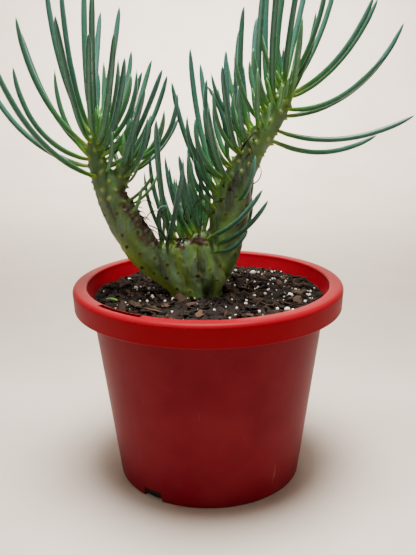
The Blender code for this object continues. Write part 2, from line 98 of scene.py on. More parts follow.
# Small leaves in tufts.  Each row: limb, lowest and highest foot above the mix, how many, the
# middle heading round the limb in degrees (0 right, 90 back, 180 left, 270 front) and the half
# width of its fan, the first and the last climb in degrees, shortest and longest, half thickness
# (all in millimetres) and how young the leaves are, from 0 to 1.
TUFTS = (
    ("left_arm", 108, 122, 7, 25, 60, 30, 88, 42, 62, 2.1, 0.2),
    ("left_arm", 90, 112, 9, 15, 65, 5, 80, 26, 50, 1.8, 0.3),
    ("left_arm", 98, 124, 4, 105, 60, 42, 88, 40, 66, 2.1, 0.1),
    ("left_arm", 112, 129, 15, 30, 110, 40, 86, 7, 24, 1.3, 1.0),
    ("side_shoot", 86, 104, 11, 40, 100, 18, 84, 30, 58, 1.95, 0.2),
    ("side_shoot", 98, 106, 8, 60, 180, 56, 86, 8, 24, 1.3, 1.0),
    ("left_arm", 58, 82, 5, 5, 50, 10, 76, 14, 34, 1.35, 0.6),
    ("centre_lobe", 34, 48, 16, 135, 60, 46, 92, 26, 80, 1.9, 0.1),
    ("middle_fold", 26, 42, 11, 85, 70, 40, 94, 18, 72, 1.65, 0.1),
    ("left_fold", 22, 38, 8, 55, 50, 36, 92, 14, 44, 1.4, 0.25),
    ("right_arm", 50, 80, 8, 165, 60, 18, 92, 32, 58, 1.9, 0.1),
    ("right_arm", 80, 112, 9, 165, 55, 18, 94, 38, 66, 2.05, 0.15),
    ("right_arm", 84, 138, 6, 100, 45, 42, 88, 44, 72, 2.1, 0.1),
    ("right_arm", 108, 142, 9, 165, 60, 22, 90, 34, 62, 2.0, 0.35),
    ("right_arm", 136, 154, 7, 90, 130, 50, 86, 34, 62, 2.0, 0.3),
    ("right_arm", 112, 157, 20, 165, 120, 30, 84, 7, 26, 1.25, 1.0),
)
TRIES = 12
LEAN_SPREAD = 0.38
GOLDEN_TURN = 0.618034

# Curled dark threads: four stations in millimetres, right, back and above the mix, and a radius.
THREADS = (
    ((-44, -9, 60), (-38, -12, 66), (-30, -13, 62), (-26, -11, 55), 0.595),
    ((-42, -7, 54), (-36, -11, 52), (-30, -13, 46), (-31, -12, 38), 0.68),
    ((-50, -11, 68), (-44, -13, 74), (-38, -12, 70), (-34, -10, 64), 0.51),
    ((-12, -13, 60), (-10, -15, 68), (-5, -15, 74), (0, -14, 76), 0.765),
    ((-14, -11, 56), (-17, -14, 62), (-14, -16, 70), (-9, -15, 73), 0.595),
    ((33, -11, 84), (37, -13, 88), (38, -14, 95), (34, -13, 99), 0.595),
    ((24, -15, 108), (28, -17, 115), (33, -16, 120), (36, -15, 118), 0.85),
    ((-52, -15, 17), (-55, -16, 11), (-57, -16, 4), (-58, -15, 1), 0.68),
    ((-38, -13, 42), (-34, -15, 46), (-24, -15, 45), (-14, -14, 46), 0.51),
    ((-30, -15, 40), (-27, -16, 47), (-22, -16, 44), (-17, -15, 39), 0.51),
)


# ---------------------------------------------------------------- colour and node helpers
def colour(code):
    """An sRGB hex colour as linear RGBA."""
    parts = [int(code[k:k + 2], 16) / 255.0 for k in (1, 3, 5)]
    return tuple(p / 12.92 if p <= 0.04045 else ((p + 0.055) / 1.055) ** 2.4 for p in parts) + (1.0,)


def feed(tree, node, inputs):
    """Give a node its inputs: a socket is linked, anything else is set on the input."""
    for key, value in inputs.items():
        if isinstance(value, bpy.types.NodeSocket):
            tree.links.new(value, node.inputs[key])
        else:
            node.inputs[key].default_value = value


def add(tree, kind, inputs=None, out=0, stops=(), **settings):
    """One output of a new shader node with these inputs and settings.  A colour ramp also takes
    its stops, each a place and a hex colour."""
    made = tree.nodes.new("ShaderNode" + kind)
    for key, value in settings.items():
        setattr(made, key, value)
    feed(tree, made, inputs or {})
    for _ in stops[2:]:
        made.color_ramp.elements.new(0.5)
    for number, (place, code) in enumerate(stops):
        made.color_ramp.elements[number].position = place
        made.color_ramp.elements[number].color = colour(code)
    return made.outputs[out]


def new_material(name):
    """A new material with its tree and its shader."""
    material = bpy.data.materials.new(name)
    material.use_nodes = True
    tree = material.node_tree
    return material, tree, tree.nodes["Principled BSDF"]


# ---------------------------------------------------------------- mesh helpers
def put_mesh(name, points, quads, tris, material, values=None, smooth=True):
    """A mesh object from arrays: points, four-sided faces, three-sided faces and point values."""
    mesh = bpy.data.meshes.new(name)
    quads = np.asarray(quads, np.int32).reshape(-1, 4)
    tris = np.asarray(tris, np.int32).reshape(-1, 3)
    corners = np.concatenate((quads.ravel(), tris.ravel()))
    starts = np.concatenate((np.arange(len(quads)) * 4, 4 * len(quads) + np.arange(len(tris)) * 3))
    mesh.vertices.add(len(points))
    mesh.vertices.foreach_set("co", np.asarray(points, np.float32).ravel())
    mesh.loops.add(len(corners))
    mesh.loops.foreach_set("vertex_index", corners)
    mesh.polygons.add(len(starts))
    mesh.polygons.foreach_set("loop_start", starts.astype(np.int32))
    mesh.update(calc_edges=True)
    mesh.validate()
    if smooth:
        mesh.shade_smooth()
    else:
        mesh.shade_flat()
    put_values(mesh, values or {})
    mesh.materials.append(material)
    piece = bpy.data.objects.new(name, mesh)
    bpy.context.scene.collection.objects.link(piece)
    return piece


def put_values(mesh, values):
    """Store named values on a mesh's points, for its material to read."""
    for key, numbers in values.items():
        layer = mesh.attributes.new(key, "FLOAT", "POINT")
        layer.data.foreach_set("value", np.asarray(numbers, np.float32).ravel())


def tube_faces(count, rows, sides):
    """Faces of many closed tubes, each rows x sides points and then a start and an end pole."""
    row, side = np.meshgrid(np.arange(rows - 1), np.arange(sides), indexing="ij")
    after = (side + 1) % sides
    quads = np.stack((row * sides + side, row * sides + after, (row + 1) * sides + after,
                      (row + 1) * sides + side), axis=-1).reshape(-1, 4)
    edge = np.arange(sides)
    following = (edge + 1) % sides
    start = np.stack((np.full(sides, rows * sides), following, edge), axis=1)
    last = (rows - 1) * sides
    end = np.stack((np.full(sides, rows * sides + 1), last + edge, last + following), axis=1)
    tris = np.concatenate((start, end))
    step = (np.arange(count) * (rows * sides + 2))[:, None, None]
    return (quads + step).reshape(-1, 4), (tris + step).reshape(-1, 3)


def put_tubes(name, rings, starts, ends, material, values=None, smooth=True):
    """Closed tubes from rings (count, rows, sides, 3) and the poles that close them (count, 3)."""
    count, rows, sides = rings.shape[:3]
    points = np.concatenate((rings.reshape(count, -1, 3), starts[:, None], ends[:, None]), axis=1)
    quads, tris = tube_faces(count, rows, sides)
    return put_mesh(name, points.reshape(-1, 3), quads, tris, material, values, smooth)


def read_points(mesh, key="co"):
    """One three-number property of all of a mesh's points, as rows."""
    numbers = np.empty(len(mesh.vertices) * 3, np.float32)
    mesh.vertices.foreach_get(key, numbers)
    return numbers.reshape(-1, 3).astype(float)


def circle(sides):
    """Even turns round a circle, in radians."""
    return np.linspace(0.0, 2.0 * math.pi, sides, endpoint=False)


def unit(vectors):
    """Vectors scaled to length one, along the last axis."""
    return vectors / np.maximum(np.linalg.norm(vectors, axis=-1, keepdims=True), 1e-12)


def spline(stations, count):
    """Points along a smooth Catmull-Rom curve through the stations, all columns alike."""
    stations = np.asarray(stations, float)
    padded = np.vstack((2.0 * stations[0] - stations[1], stations, 2.0 * stations[-1] - stations[-2]))
    place = np.linspace(0.0, len(stations) - 1.0, count)
    start = np.minimum(place.astype(int), len(stations) - 2)
    t = (place - start)[:, None]
    a, b, c, d = (padded[start + k] for k in range(4))
    return 0.5 * (2.0 * b + (c - a) * t + (2.0 * a - 5.0 * b + 4.0 * c - d) * t ** 2
                  + (3.0 * b - a - 3.0 * c + d) * t ** 3)


def waves(points, size, seed):
    """Smooth noise, mostly from -1 to 1, with lumps about size across: nine turned sine waves."""
    source = np.random.default_rng(seed)
    total = np.zeros(len(points))
    for _ in range(9):
        way = unit(source.normal(size=3))
        pitch = 2.0 * math.pi / (size * source.uniform(1.6, 3.2))
        total += np.sin(points @ way * pitch + source.uniform(0.0, 6.28))
    return total / 3.6


def finish_piece(piece, slot, *nodes):
    """Put a piece on the root body and let it stand for its CAD nodes; its slot is not used."""
    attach(piece, "root")
    if nodes:
        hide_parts(*nodes)


# ---------------------------------------------------------------- materials
def moulded_plastic():
    """Red polypropylene, injection moulded: satin skin, a thin haze of dust on the wall, fine
    scuffs and a few dark specks of splashed mix.  The wall below the rim is painted a darker red
    than the rim, as painted shade."""
    material, tree, shader = new_material("moulded_red_polypropylene")
    place = add(tree, "TexCoord", out="Object")
    height = add(tree, "SeparateXYZ", {"Vector": place}, "Z")
    cloud = add(tree, "TexNoise", {"Vector": place, "Scale": 24.0, "Detail": 7.0, "Roughness": 0.62})
    fine = add(tree, "TexNoise", {"Vector": place, "Scale": 900.0, "Detail": 3.0})
    long_place = add(tree, "Mapping",
                     {"Vector": place, "Rotation": (0.5, 0.3, 0.0), "Scale": (1.0, 1.0, 0.09)})
    scuff = add(tree, "TexNoise", {"Vector": long_place, "Scale": 520.0, "Detail": 2.0})
    scuffed = add(tree, "MapRange", {"Value": scuff, "From Min": 0.68, "From Max": 0.74})
    patch = add(tree, "MapRange", {"Value": cloud, "From Min": 0.50, "From Max": 0.66})
    marks = add(tree, "Math", {0: scuffed, 1: patch}, operation="MULTIPLY")
    below_rim = add(tree, "MapRange", {"Value": height, "From Min": SKIRT_BOTTOM - 1.0 * MM,
                                       "From Max": SKIRT_BOTTOM + 1.0 * MM, "To Min": 1.0,
                                       "To Max": 0.15})
    # Painted shade: below the rim the wall takes these darker reds instead of the rim's #840216.
    wall = add(tree, "ValToRGB", {"Fac": cloud}, stops=((0.30, "#610315"), (0.70, "#6c0518")))
    base = add(tree, "Mix", {0: below_rim, 6: colour("#840216"), 7: wall}, 2, data_type="RGBA")
    haze = add(tree, "MapRange", {"Value": cloud, "From Min": 0.35, "From Max": 0.75,
                                  "To Min": 0.002, "To Max": 0.018})
    share = add(tree, "Math", {0: haze, 1: below_rim}, operation="MULTIPLY")
    worn = add(tree, "Math", {0: marks, 1: 0.10, 2: share}, operation="MULTIPLY_ADD", use_clamp=True)
    dusty = add(tree, "Mix", {0: worn, 6: base, 7: colour("#c9b3aa")}, 2, data_type="RGBA")
    speck = add(tree, "TexVoronoi", {"Vector": place, "Scale": 300.0})
    near = add(tree, "MapRange", {"Value": speck, "From Min": 0.06, "From Max": 0.16,
                                  "To Min": 1.0, "To Max": 0.0})
    chance = add(tree, "SeparateColor", {"Color": speck.node.outputs["Color"]})
    rare = add(tree, "Math", {0: chance, 1: 0.965}, operation="GREATER_THAN")
    dots = add(tree, "Math", {0: near, 1: rare}, operation="MULTIPLY")
    feed(tree, shader, {
        "Base Color": add(tree, "Mix", {0: dots, 6: dusty, 7: colour("#2a0c0a")}, 2, data_type="RGBA"),
        "Roughness": add(tree, "MapRange", {"Value": cloud, "To Min": 0.36, "To Max": 0.50}),
        "Normal": add(tree, "Bump", {"Height": fine, "Strength": 0.12, "Distance": 0.12 * MM}),
        "IOR": 1.49,
        "Specular IOR Level": 0.06})
    return material


def earth(name, stops, scale, bump_distance):
    """Rough dry plant matter or mineral foam: matt, its colour mottled by noise and set for each
    chip or grain by its own tone."""
    material, tree, shader = new_material(name)
    place = add(tree, "TexCoord", out="Object")
    grain = add(tree, "TexNoise", {"Vector": place, "Scale": scale, "Detail": 8.0, "Roughness": 0.7})
    tone = add(tree, "Attribute", out="Fac", attribute_name="tone")
    lowered = add(tree, "Math", {0: tone, 1: 0.22}, operation="SUBTRACT")
    level = add(tree, "Math", {0: grain, 1: 0.45, 2: lowered}, operation="MULTIPLY_ADD", use_clamp=True)
    feed(tree, shader, {
        "Base Color": add(tree, "ValToRGB", {"Fac": level}, stops=stops),
        "Roughness": 0.92,
        "Specular IOR Level": 0.25,
        "Normal": add(tree, "Bump", {"Height": grain, "Strength": 0.8, "Distance": bump_distance})})
    return material


def leaf_skin():
    """Succulent leaf under a thin waxy bloom: yellow-green foot, green then deep blue-green blade,
    a pale line on top, partly a window line and partly a painted highlight for the waxy gloss,
    and a brownish point on some leaves.  The wax gives a soft gloss."""
    material, tree, shader = new_material("waxy_leaf_skin")
    place = add(tree, "TexCoord", out="Object")
    value = {name: add(tree, "Attribute", out="Fac", attribute_name=name)
             for name in ("along", "around", "tone", "window_and_highlight", "young")}
    cloud = add(tree, "TexNoise", {"Vector": place, "Scale": 90.0, "Detail": 3.0})
    spread = add(tree, "Math", {0: value["around"], 1: 9.0}, operation="MULTIPLY")
    growth_place = add(tree, "CombineXYZ", {"X": spread, "Y": value["along"], "Z": value["tone"]})
    fibres = add(tree, "TexNoise", {"Vector": growth_place, "Scale": 2.2, "Detail": 3.0})
    green = add(tree, "ValToRGB", {"Fac": value["along"]}, stops=(
        (0.0, "#a3ae3a"), (0.07, "#668c2a"), (0.20, "#326422"), (0.48, "#1f4c24"), (0.97, "#183f27")))
    blue = add(tree, "ValToRGB", {"Fac": value["along"]}, stops=(
        (0.0, "#96aa42"), (0.06, "#58862f"), (0.18, "#2b5a2e"), (0.40, "#1d483a"), (0.97, "#1a423f")))
    blade = add(tree, "Mix", {0: value["tone"], 6: green, 7: blue}, 2, data_type="RGBA")
    fresh = add(tree, "Math", {0: value["young"], 1: 0.75}, operation="MULTIPLY", use_clamp=True)
    shade = add(tree, "MapRange", {"Value": cloud, "From Min": 0.35, "From Max": 0.70,
                                   "To Min": 0.0, "To Max": 0.30})
    bloom = add(tree, "MapRange", {"Value": value["along"], "From Min": 0.10, "From Max": 0.60,
                                   "To Max": 0.13})
    # The pale line on top is partly the leaf's window line and partly a painted highlight.
    pale = add(tree, "Math", {0: value["window_and_highlight"], 1: 0.30}, operation="MULTIPLY")
    point = add(tree, "MapRange", {"Value": value["along"], "From Min": 0.955, "From Max": 1.0})
    dry = add(tree, "Math", {0: point, 1: value["tone"]}, operation="MULTIPLY", use_clamp=True)
    for part, code in ((fresh, "#66a034"), (shade, "#0f3324"), (bloom, "#6fa7a2"), (pale, "#84b99f"),
                       (dry, "#6b4433")):
        blade = add(tree, "Mix", {0: part, 6: blade, 7: colour(code)}, 2, data_type="RGBA")
    feed(tree, shader, {
        "Base Color": blade,
        "Roughness": add(tree, "MapRange", {"Value": cloud, "To Min": 0.20, "To Max": 0.36}),
        "Normal": add(tree, "Bump", {"Height": fibres, "Strength": 0.15, "Distance": 0.08 * MM}),
        "IOR": 1.5,
        "Specular IOR Level": 0.24,
        "Sheen Weight": 0.08,
        "Sheen Roughness": 0.35,
        "Sheen Tint": colour("#d3ecea"),
        "Subsurface Weight": 0.10,
        "Subsurface Scale": 1.2 * MM,
        "Subsurface Radius": (0.4, 1.0, 0.3)})
    return material


def stem_skin():
    """Thick succulent skin: green with olive and blue-grey streaks that follow the growth, dark
    brown leaf scars, corky patches, and yellow-green bumps where leaves have just gone.  A bright
    green painted highlight lies on the lower stem's left faces, and painted shade darkens the
    creases between the lobes."""
    material, tree, shader = new_material("scarred_stem_skin")
    place = add(tree, "TexCoord", out="Object")
    value = {name: add(tree, "Attribute", out="Fac", attribute_name=name)
             for name in ("streak", "scar", "young", "knob", "bark", "painted_crease_shade", "painted_ridge_highlight")}
    mottle = add(tree, "TexNoise", {"Vector": place, "Scale": 480.0, "Detail": 5.0, "Roughness": 0.7})
    long_place = add(tree, "Mapping", {"Vector": place, "Scale": (1.0, 1.0, 0.22)})
    cloud = add(tree, "TexNoise",
                {"Vector": long_place, "Scale": 140.0, "Detail": 6.0, "Roughness": 0.62})
    streaks = add(tree, "TexNoise",
                  {"Vector": long_place, "Scale": 330.0, "Detail": 4.0, "Roughness": 0.65})
    lowered = add(tree, "Math", {0: value["streak"], 1: 0.85, 2: -0.18}, operation="MULTIPLY_ADD")
    level = add(tree, "Math", {0: cloud, 1: 0.60, 2: lowered}, operation="MULTIPLY_ADD", use_clamp=True)
    skin = add(tree, "ValToRGB", {"Fac": level}, stops=(
        (0.20, "#182210"), (0.38, "#304418"), (0.55, "#3f6022"), (0.74, "#527a2e"), (0.92, "#6f9446")))
    grey = add(tree, "MapRange", {"Value": streaks, "From Min": 0.47, "From Max": 0.60,
                                  "To Min": 0.0, "To Max": 0.48})
    painted_ridge_highlight = add(tree, "Math", {0: value["painted_ridge_highlight"], 1: 0.75}, operation="MULTIPLY")
    fresh = add(tree, "Math", {0: value["young"], 1: 0.6}, operation="MULTIPLY")
    knob = add(tree, "Math", {0: value["knob"], 1: 0.58}, operation="MULTIPLY")
    cork = add(tree, "ValToRGB", {"Fac": mottle}, stops=((0.35, "#1d130c"), (0.65, "#4a3626")))
    # Painted light: the bright green on the lower stem's left faces is a painted highlight, and the dark
    # olive in the creases is painted shade.
    for part, tint in ((grey, colour("#567267")), (value["painted_crease_shade"], colour("#33401c")),
                       (painted_ridge_highlight, colour("#86aa3c")), (fresh, colour("#3a602b")),
                       (knob, colour("#a2b440")), (value["bark"], cork),
                       (value["scar"], colour("#2b1710"))):
        skin = add(tree, "Mix", {0: part, 6: skin, 7: tint}, 2, data_type="RGBA")
    feed(tree, shader, {
        "Base Color": skin,
        "Roughness": add(tree, "MapRange", {"Value": mottle, "To Min": 0.30, "To Max": 0.60}),
        "Normal": add(tree, "Bump", {"Height": mottle, "Strength": 0.7, "Distance": 0.5 * MM}),
        "Subsurface Weight": 0.06,
        "Subsurface Scale": 1.5 * MM,
        "Subsurface Radius": (0.6, 1.0, 0.3)})
    return material


def floor_paint():
    """Pale matt floor with a slight warm mottle, so the pot's soft shadow can be read."""
    material, tree, shader = new_material("pale_floor_paint")
    place = add(tree, "TexCoord", out="Object")
    cloud = add(tree, "TexNoise", {"Vector": place, "Scale": 6.0, "Detail": 7.0, "Roughness": 0.6})
    feed(tree, shader, {
        "Base Color": add(tree, "ValToRGB", {"Fac": cloud}, stops=((0.3, "#cbc1b7"), (0.7, "#d6cdc4"))),
        "Roughness": 0.75})
    return material


# ---------------------------------------------------------------- pot
def arc(radius, height, size, start, end, count=7):
    """Points of a section on a round corner, between two turns in degrees."""
    turn = np.radians(np.linspace(start, end, count))
    return np.stack((radius + size * np.cos(turn), height + size * np.sin(turn)), axis=1)


def pot_profile():
    """The pot's section, radius against height: up the outside, under the rim, down and up the
    skirt, over the rim and down the inside.  Corners are round arcs."""
    knee = (NECK_RADIUS + 0.25 * (MOUTH_RADIUS + WALL - NECK_RADIUS), POT_TOP - 0.55 * RIM_DEPTH)
    foot = 2.0 * MM
    skirt_out = RIM_RADIUS - 0.6 * MM
    lip = 0.9 * MM
    mouth_round = 1.4 * MM
    outer = np.vstack((
        arc(BASE_RADIUS - foot, foot, foot, -90.0, -6.0),
        np.stack((np.linspace(BASE_RADIUS, NECK_RADIUS, 30)[1:],
                  np.linspace(foot, SKIRT_BOTTOM, 30)[1:]), axis=1),
        [knee, (MOUTH_RADIUS + WALL, POT_TOP - 2.0 * WALL), (MOUTH_RADIUS + 2.0 * WALL, POT_TOP - WALL)],
        [(RIM_RADIUS - RIM_ROUND, POT_TOP - WALL), (skirt_out - WALL, POT_TOP - WALL - 1.5 * MM)],
        arc(skirt_out - lip, SKIRT_BOTTOM + lip, lip, -180.0, 0.0, 9)))
    rim = np.vstack((
        np.stack((np.linspace(skirt_out, RIM_RADIUS, 8),
                  np.linspace(SKIRT_BOTTOM + 2.0 * MM, POT_TOP - RIM_ROUND - 0.5 * MM, 8)), axis=1),
        arc(RIM_RADIUS - RIM_ROUND, POT_TOP - RIM_ROUND, RIM_ROUND, 0.0, 84.0, 9),
        arc(MOUTH_RADIUS + mouth_round, POT_TOP - mouth_round, mouth_round, 92.0, 180.0)))
    inside = np.vstack((
        [(MOUTH_RADIUS, POT_TOP - 1.6 * WALL), (knee[0] - WALL, knee[1])],
        np.stack((np.linspace(NECK_RADIUS, BASE_RADIUS, 8) - WALL,
                  np.linspace(SKIRT_BOTTOM, FLOOR_THICK + 2.0 * MM, 8)), axis=1),
        [(BASE_RADIUS - WALL - 2.0 * MM, FLOOR_THICK)]))
    return np.vstack((outer, rim, inside))


def make_pot():
    """The profile turned about the pot's axis: radius plus a small sine of twice the turn on the
    rim and a narrow bell at each mould seam.  Three drain notches and the label slit are cut out."""
    sides = 216
    profile = pot_profile()
    turn = circle(sides)
    radius = profile[:, 0][:, None] * np.ones(sides)
    height = profile[:, 1][:, None] * np.ones(sides)
    upper = np.clip((height - SKIRT_BOTTOM) / RIM_DEPTH, 0.0, 1.0)
    radius = radius + upper * 0.25 * MM * np.sin(2.0 * turn + 0.6) * (radius > NECK_RADIUS)
    radius = np.minimum(radius, RIM_RADIUS + 0.2 * MM)
    seam = sum(np.exp(-((turn - math.radians(degrees)) / 0.006) ** 2) for degrees in SEAM_TURNS)
    radius = radius + 0.18 * MM * seam * (height > 4.0 * MM)
    grid = np.stack((radius * np.cos(turn), radius * np.sin(turn), height), axis=-1)
    pot = put_tubes("nursery_pot", grid[None], np.zeros((1, 3)), FLOOR_THICK * UP[None], PLASTIC)
    for number, degrees in enumerate(NOTCH_TURNS, 1):
        cut_out(pot, notch_cutter(number, math.radians(degrees)))
    cut_out(pot, slit_cutter())
    pot.data.set_sharp_from_angle(angle=math.radians(50.0))
    finish_piece(pot, "pot_plastic", "pot")


def notch_cutter(number, turn):
    """A closed block across the pot's bottom corner, a little narrower at its top."""
    way = np.array((math.cos(turn), math.sin(turn), 0.0))
    side = np.array((-way[1], way[0], 0.0))
    wide = NOTCH_HALF_WIDTH
    corners = [way * (BASE_RADIUS + r * MM) + side * s * share * MM + UP * z
               for z, share in ((-2.0 * MM, 1.0), (NOTCH_HEIGHT, 0.86))
               for r, s in ((-7.0, -wide), (5.0, -wide), (5.0, wide), (-7.0, wide))]
    faces = [(0, 3, 2, 1), (4, 5, 6, 7), (0, 1, 5, 4), (1, 2, 6, 5), (2, 3, 7, 6), (3, 0, 4, 7)]
    return put_mesh(f"notch_cutter_{number}", corners, faces, [], PLASTIC, smooth=False)


def slit_cutter():
    """A thin blade bent along the rim's inner edge, for the plant label's slit."""
    half = SLIT_HALF_LENGTH
    bend = np.radians(SLIT_TURN) + np.linspace(-half, half, 21) * MM / MOUTH_RADIUS
    corners = ((SLIT_INNER, 2.0), (SLIT_OUTER, 2.0), (SLIT_OUTER, -6.0), (SLIT_INNER, -6.0))
    rings = np.array([[((MOUTH_RADIUS + r * MM) * math.cos(turn), (MOUTH_RADIUS + r * MM) * math.sin(turn),
                        POT_TOP + z * MM) for r, z in corners] for turn in bend])
    ends = rings.mean(axis=1)
    return put_tubes("slit_cutter", rings[None], ends[:1], ends[-1:], PLASTIC, smooth=False)


def cut_out(piece, cutter):
    """Take the cutter's shape out of a piece and throw the cutter away."""
    cut = piece.modifiers.new("cut", "BOOLEAN")
    cut.operation = "DIFFERENCE"
    cut.solver = "EXACT"
    cut.object = cutter
    apply_modifiers(piece)
    bpy.data.objects.remove(cutter, do_unlink=True)


def apply_modifiers(piece):
    """Swap a piece's mesh for its evaluated one and drop its modifiers."""
    view = bpy.context.evaluated_depsgraph_get()
    view.update()
    mesh = bpy.data.meshes.new_from_object(piece.evaluated_get(view))
    piece.modifiers.clear()
    piece.data = mesh


# ---------------------------------------------------------------- stem
def limb_line(name, count=60):
    """A limb's middle line with its half widths and half depths, lifted to the mix."""
    line = spline(np.array(LIMBS[name]) * MM, count)
    line[:, 2] += MIX_LEVEL
    return line


def limb_tube(name, sides=28):
    """Elliptical rings square to a limb's line, closed by a dome, and the tube's two poles."""
    path = limb_line(name, 8 * len(LIMBS[name]))
    centre = path[:, :3]
    along = unit(np.gradient(centre, axis=0))
    across = unit(np.cross(BACK, along))
    turn = circle(sides)[None, :, None]
    rings = centre[:, None] + path[:, 3][:, None, None] * np.cos(turn) * across[:, None] \
        + path[:, 4][:, None, None] * np.sin(turn) * BACK
    height = 0.9 * path[-1, 3]
    caps = [centre[-1] + (rings[-1] - centre[-1]) * math.sqrt(1.0 - step ** 2) + along[-1] * height * step
            for step in (0.3, 0.55, 0.75, 0.9)]
    return np.concatenate((rings, np.array(caps))), centre[0], centre[-1] + along[-1] * height


def near_limb(points, name, reach):
    """Whether each point lies within reach of a limb's line, and its offset from the line."""
    line = limb_line(name)[:, :3]
    place = ((points[:, None] - line[None]) ** 2).sum(axis=2).argmin(axis=1)
    offset = points - line[place]
    return np.linalg.norm(offset, axis=1) < reach, offset


def crease(points, path, width, depth, face):
    """How deep a groove is at each point: a smooth dip across a path drawn on one face."""
    path = spline(np.array(path) * MM, 40)
    flat = points[:, (0, 2)] - np.array((0.0, MIX_LEVEL))
    distance = np.sqrt(((flat[:, None] - path[None]) ** 2).sum(axis=2)).min(axis=1)
    return depth * MM * np.exp(-(distance / (width * MM)) ** 2) * (points[:, 1] * face > -2.0 * MM)


def pick_spots(points, keep, pitch, seed):
    """Points in random order, each kept if it is at least its pitch from those before it."""
    order = np.random.default_rng(seed).permutation(np.nonzero(keep)[0])
    chosen = []
    for index in order:
        spot = points[index]
        if not chosen or np.min(np.linalg.norm(points[chosen] - spot, axis=1)) > pitch[index]:
            chosen.append(index)
    return np.array(chosen)


def make_stem():
    """The limbs and a root collar fused by a fine remesh, then displaced: ridges that fan out from
    the root, creases between the lobes, scars with a raised edge, and knobs on the young arms."""
    turn = circle(40)
    collar = np.array([np.stack((-9.0 * MM + wide * MM * np.cos(turn), deep * MM * np.sin(turn),
                                 np.full(40, MIX_LEVEL + high * MM)), axis=1)
                       for wide, deep, high in ((19.0, 10.5, -8.0), (20.0, 11.0, 0.0), (16.8, 9.8, 8.0))])
    tubes = [limb_tube(name) for name in LIMBS] + [(collar, collar[0].mean(axis=0), collar[-1].mean(axis=0))]
    points, all_quads, all_tris, shift = [], [], [], 0
    for rings, low, high in tubes:
        quads, tris = tube_faces(1, len(rings), rings.shape[1])
        points.append(np.vstack((rings.reshape(-1, 3), low, high)))
        all_quads.append(quads + shift)
        all_tris.append(tris + shift)
        shift += len(points[-1])
    stem = put_mesh("crested_stem", np.vstack(points), np.vstack(all_quads), np.vstack(all_tris), STEM)
    fuse = stem.modifiers.new("fuse", "REMESH")
    fuse.mode = "VOXEL"
    fuse.voxel_size = 1.0 * MM
    ease = stem.modifiers.new("ease", "SMOOTH")
    ease.factor = 0.5
    ease.iterations = 14
    apply_modifiers(stem)
    return stem, *displace_stem(stem)


def fade(values, start, end):
    """A straight fade from 0 at start to 1 at end."""
    return np.clip((values - start) / (end - start), 0.0, 1.0)


